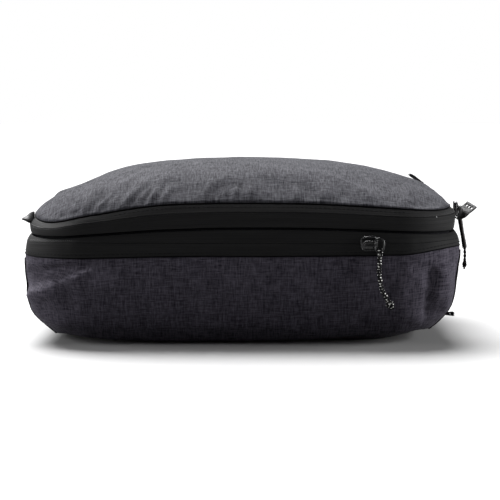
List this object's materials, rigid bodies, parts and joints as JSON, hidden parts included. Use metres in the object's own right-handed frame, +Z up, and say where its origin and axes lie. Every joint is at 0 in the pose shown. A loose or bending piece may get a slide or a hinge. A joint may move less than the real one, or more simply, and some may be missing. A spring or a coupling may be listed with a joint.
{
  "type": "packing cube",
  "caption": "Soft rectangular packing cube with a domed lid that unzips on three sides, a second zip that releases a folded gusset to make it taller, and corded zip pulls.",
  "frame": {"origin": "centre of the flat patch under the tub that the cube stands on", "axes": "+X along the long side, -Y out of the front long side, +Z up towards the lid"},
  "size_m": [0.3052, 0.2376, 0.1186],
  "materials": {
    "body_fabric": "matte",
    "gusset_fabric": "matte",
    "zip_tape": "matte",
    "zip_coil": "satin",
    "binding": "matte",
    "webbing": "satin",
    "slider_metal": "satin",
    "pull_cord": "matte",
    "pull_sleeve": "satin"
  },
  "bodies": {
    "base": {"main_wrap": "body_fabric", "end_panel_left": "body_fabric", "end_panel_right": "body_fabric", "corner_binding_left": "binding", "corner_binding_right": "binding", "tub_rim_binding": "binding", "expansion_gusset": "gusset_fabric", "end_tag": "webbing", "lower_zip_tape_bottom": "zip_tape", "lower_zip_coil_bottom": "zip_coil"},
    "mid_ring": {"lower_zip_tape_top": "zip_tape", "lower_zip_coil_top": "zip_coil", "mid_seam_rib": "binding", "upper_zip_tape_bottom": "zip_tape", "mid_back_band": "zip_tape", "upper_zip_coil_bottom": "zip_coil", "upper_zip_stops": "zip_coil"},
    "lid": {"top_panel": "body_fabric", "lid_rim_rib": "binding", "upper_zip_tape_top": "zip_tape", "lid_back_band": "zip_tape", "upper_zip_coil_top": "zip_coil", "lid_inner_binding": "binding"},
    "front_slider": {"front_slider": "slider_metal"},
    "front_bail": {"front_bail": "slider_metal"},
    "front_pull": {"front_pull_cord": "pull_cord", "front_pull_knot": "pull_cord"},
    "side_slider": {"side_slider": "slider_metal"},
    "side_bail": {"side_bail": "slider_metal"},
    "side_pull": {"side_pull_cord": "pull_cord", "side_pull_sleeve": "pull_sleeve", "side_pull_knot": "pull_cord"},
    "left_tab": {"left_tab": "webbing"},
    "right_tab": {"right_tab": "webbing"},
    "back_tab": {"back_tab": "webbing"}
  },
  "joints": [
    {"name": "expand", "type": "slide", "parent": "base", "child": "mid_ring", "axis": [0, 0, 1], "range_m": [0, 0.05], "deforming": ["expansion_gusset"]},
    {"name": "lid_hinge", "type": "hinge", "parent": "mid_ring", "child": "lid", "pos_m": [0, 0.1135, 0.087], "axis": [-1, 0, 0], "range_deg": [0, 170]},
    {"name": "front_slide", "type": "slide", "parent": "base", "child": "front_slider", "axis": [-1, 0, 0], "range_m": [0, 0.17]},
    {"name": "front_bail_swing", "type": "hinge", "parent": "front_slider", "child": "front_bail", "pos_m": [0.0849, -0.1179, 0.0665], "axis": [0, 0, -1], "range_deg": [0, 75]},
    {"name": "front_pull_swing", "type": "hinge", "parent": "front_bail", "child": "front_pull", "pos_m": [0.0882, -0.1179, 0.0621], "axis": [-1, 0, 0], "range_deg": [0, 80]},
    {"name": "side_slide", "type": "slide", "parent": "mid_ring", "child": "side_slider", "axis": [0, 1, 0], "range_m": [0, 0.118]},
    {"name": "side_bail_swing", "type": "hinge", "parent": "side_slider", "child": "side_bail", "pos_m": [0.1449, -0.0566, 0.086], "axis": [0, 0, -1], "range_deg": [0, 70]},
    {"name": "side_pull_swing", "type": "hinge", "parent": "side_bail", "child": "side_pull", "pos_m": [0.1449, -0.0537, 0.0816], "axis": [0, -1, 0], "range_deg": [0, 70]},
    {"name": "left_tab_flex", "type": "hinge", "parent": "mid_ring", "child": "left_tab", "pos_m": [-0.143, -0.076, 0.082], "axis": [0, 1, 0], "range_deg": [0, 40]},
    {"name": "right_tab_flex", "type": "hinge", "parent": "mid_ring", "child": "right_tab", "pos_m": [0.146, -0.076, 0.085], "axis": [0.593, -0.713, -0.374], "range_deg": [0, 50]},
    {"name": "back_tab_flex", "type": "hinge", "parent": "lid", "child": "back_tab", "pos_m": [0.137, 0.088, 0.096], "axis": [0, 1, 0], "range_deg": [0, 90]}
  ]
}
